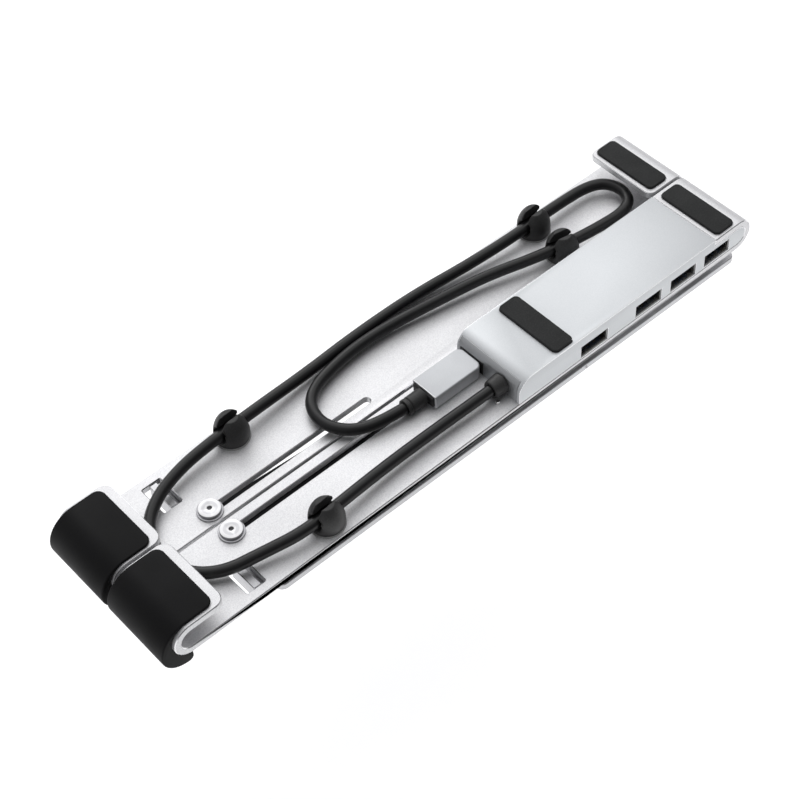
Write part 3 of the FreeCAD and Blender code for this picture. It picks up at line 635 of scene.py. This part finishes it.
# ---------------------------------------------------------------- scissor frame
@dataclass
class ScissorFrame:
    """The two crossed links between the plates, with their rivets and sliding pins."""

    link_edge_mm: float = 0.15
    head_edge_mm: float = 0.14
    washer_edge_mm: float = 0.1

    def build(self) -> int:
        """Make the links, rivets, pins and washers.

        Returns:
            The number of pieces.
        """
        for word in ("lower", "upper"):
            softened(f"scissor_link_{word}", BRUSHED_LINK, self.link_edge_mm)
        for node in ("scissor_centre_rivet", "right_pivot_rivet", "left_pivot_rivet"):
            softened(node, self.turned(node, "#B2B2B5", "#9B9B9F"), self.head_edge_mm)
        for side in Side:
            pin, washer = f"{side.value}_slide_pin", f"{side.value}_slide_washer"
            softened(pin, self.turned(pin, "#CBCBCC", "#B9B9BB"), self.head_edge_mm)
            softened(washer, self.turned(washer, "#B4B4B6", "#A2A2A5"), self.washer_edge_mm)
        return 9

    @staticmethod
    def turned(node: str, tone: str, second_tone: str) -> TurnedFinish:
        """The lathe finish of one pin, rivet or washer, ringed round its own axis.

        Args:
            node: the CAD node that gives the axis.
            tone: the lighter tone.
            second_tone: the darker tone.

        Returns:
            The finish.
        """
        return TurnedFinish(f"turned_{node}", tone, second_tone, metallic=1.0, gloss=(0.3, 0.38),
                            grain_depth_mm=0.012, relief=0.3, blotch_mm=2.0, centre=tuple(middle(node)))


# ---------------------------------------------------------------- laptop arms
@dataclass
class LaptopArms:
    """The two hinged arms that carry the laptop, their grips, pins and prop legs."""

    sheet_edge_mm: float = 0.22
    foot_edge_mm: float = 0.25
    grip_edge_mm: float = 0.15

    def build(self) -> int:
        """Make both arms.

        Returns:
            The number of pieces.
        """
        for side in Side:
            word = side.value
            # the arms and prop legs take the sheet whose tone is painted darker as shade
            softened(f"{word}_laptop_arm", SHADED_ARM_SHEET, self.sheet_edge_mm, CUT_CHAMFER, steps=1)
            softened(f"{word}_prop_leg", SHADED_ARM_SHEET, self.sheet_edge_mm, CUT_CHAMFER, steps=1)
            softened(f"{word}_prop_foot", FOOT_RUBBER, self.foot_edge_mm, steps=3)
            softened(f"{word}_grip_strip", FOOT_RUBBER, self.grip_edge_mm)
            dress(f"{word}_prop_pin", GROUND_PIN)
            dress(f"{word}_hinge_pin", GROUND_PIN)
        return 12


# ---------------------------------------------------------------- studio
@dataclass
class Softbox:
    """One large square lamp, aimed at the object."""

    name: str
    place: tuple[float, float, float]
    size_m: tuple[float, float]
    watts: float
    tint: str = "#FFFFFF"

    def build(self) -> None:
        """Hang the lamp."""
        lamp = bpy.data.lights.new(self.name, "AREA")
        lamp.shape = "RECTANGLE"
        lamp.size, lamp.size_y = self.size_m
        lamp.energy = self.watts
        lamp.color = linear(self.tint)[:3]
        holder = bpy.data.objects.new(self.name, lamp)
        holder.location = self.place
        holder.rotation_mode = "QUATERNION"
        holder.rotation_quaternion = (-Vector(self.place)).to_track_quat("-Z", "Y")
        bpy.context.scene.collection.objects.link(holder)


@dataclass
class Studio:
    """A white table, a pale room, soft lamps and the camera."""

    azimuth_deg: float = -38.714
    elevation_deg: float = 50.125
    roll_deg: float = -3.838
    camera_place: tuple[float, float, float] = (-0.27088, -0.32640, 0.50660)
    lens_mm: float = 83.36
    floor_half_m: float = 6.0
    table_clear_mm: float = 10
    table_glow: float = 0.45
    room: float = 0.55
    room_low: float = 0.7
    room_high: float = 1.3
    near_side: float = 0.2

    def build(self) -> int:
        """Set up the studio.

        Returns:
            The number of lamps.
        """
        self.floor()
        self.surroundings()
        lamps = [Softbox("overhead_softbox", (0.5, 0.5, 1.3), (1.9, 1.9), 8.6),
                 Softbox("side_softbox", (0.35, 1.1, 0.75), (1.0, 0.6), 3.6)]
        for lamp in lamps:
            lamp.build()
        self.camera()
        bpy.context.scene.view_settings.view_transform = "Standard"
        return len(lamps)

    def reach_below(self) -> float:
        """How far the arms reach under the folded stand when they are lifted all the way, in metres."""
        lift = next(joint for joint in frame["joints"] if joint["name"] == "right_arm_lift")
        low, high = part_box("right_laptop_arm")
        return (high.x - low.x) * math.sin(math.radians(max(lift["range_deg"])))

    def floor(self) -> None:
        """A matt white table, clear of the arms at every pose."""
        height = -self.reach_below() - self.table_clear_mm * MM
        bm = bmesh.new()
        half = self.floor_half_m
        corners = ((-half, -half), (half, -half), (half, half), (-half, half))
        bm.faces.new([bm.verts.new((x, y, height)) for x, y in corners])
        white = Finish("matt_white_table", "#FAFAFA", "#F6F6F6", gloss=(0.8, 0.9), grain_mm=2.0,
                       relief=0.02, blotch_mm=200.0,
                       fixed={"Emission Color": linear("#FFFFFF"), "Emission Strength": self.table_glow})
        table = piece_from(bm, "table", [white])

    def surroundings(self) -> None:
        """A pale room, brighter overhead than at the horizon."""
        world = bpy.data.worlds.new("pale_room")
        world.use_nodes = True
        tree = world.node_tree
        tree.nodes.clear()
        place = add_node(tree, "ShaderNodeTexCoord").outputs["Generated"]
        parts = add_node(tree, "ShaderNodeSeparateXYZ", links={"Vector": place})
        rise = add_node(tree, "ShaderNodeMapRange",
                        {"From Min": -0.1, "From Max": 1.0, "To Min": self.room * self.room_low,
                         "To Max": self.room * self.room_high},
                        {"Value": parts.outputs["Z"]})
        # the camera's side of the room is the darker one
        side = add_node(tree, "ShaderNodeMapRange",
                        {"From Min": -1.0, "From Max": 0.3, "To Min": self.near_side, "To Max": 1.0},
                        {"Value": parts.outputs["Y"]})
        strength = add_node(tree, "ShaderNodeMath", {"operation": "MULTIPLY"},
                            {0: rise.outputs[0], 1: side.outputs[0]})
        back = add_node(tree, "ShaderNodeBackground", {"Color": linear("#FDFDFF")},
                        {"Strength": strength.outputs[0]})
        add_node(tree, "ShaderNodeOutputWorld", links={"Surface": back.outputs[0]})
        bpy.context.scene.world = world

    def camera(self) -> None:
        """The camera, from its place and its three angles."""
        angles = (self.azimuth_deg, self.elevation_deg, self.roll_deg)
        azimuth, elevation, roll = (math.radians(angle) for angle in angles)
        ahead = Vector((-math.sin(azimuth) * math.cos(elevation), math.cos(azimuth) * math.cos(elevation),
                        -math.sin(elevation)))
        level = Vector((math.cos(azimuth), math.sin(azimuth), 0.0))
        upward = level.cross(ahead)
        right = math.cos(roll) * level + math.sin(roll) * upward
        up = -math.sin(roll) * level + math.cos(roll) * upward
        data = bpy.data.cameras.new("camera")
        data.lens = self.lens_mm
        data.sensor_width = 36.0
        data.clip_start, data.clip_end = 0.01, 50.0
        camera = bpy.data.objects.new("camera", data)
        turn = Matrix((right, up, -ahead)).transposed().to_4x4()
        camera.matrix_world = Matrix.Translation(self.camera_place) @ turn
        bpy.context.scene.collection.objects.link(camera)
        bpy.context.scene.camera = camera


def main() -> None:
    """Build the studio and every sub-assembly, and report each."""
    logging.basicConfig(level=logging.INFO, format="%(name)s: %(message)s")
    LOG.info("studio: %d lamps", Studio().build())
    for assembly in (Lead(), BasePlates(), Hub(), CableClips(), ScissorFrame(), LaptopArms()):
        LOG.info("%s: %d pieces", type(assembly).__name__, assembly.build())


if __name__ == "__main__":
    main()
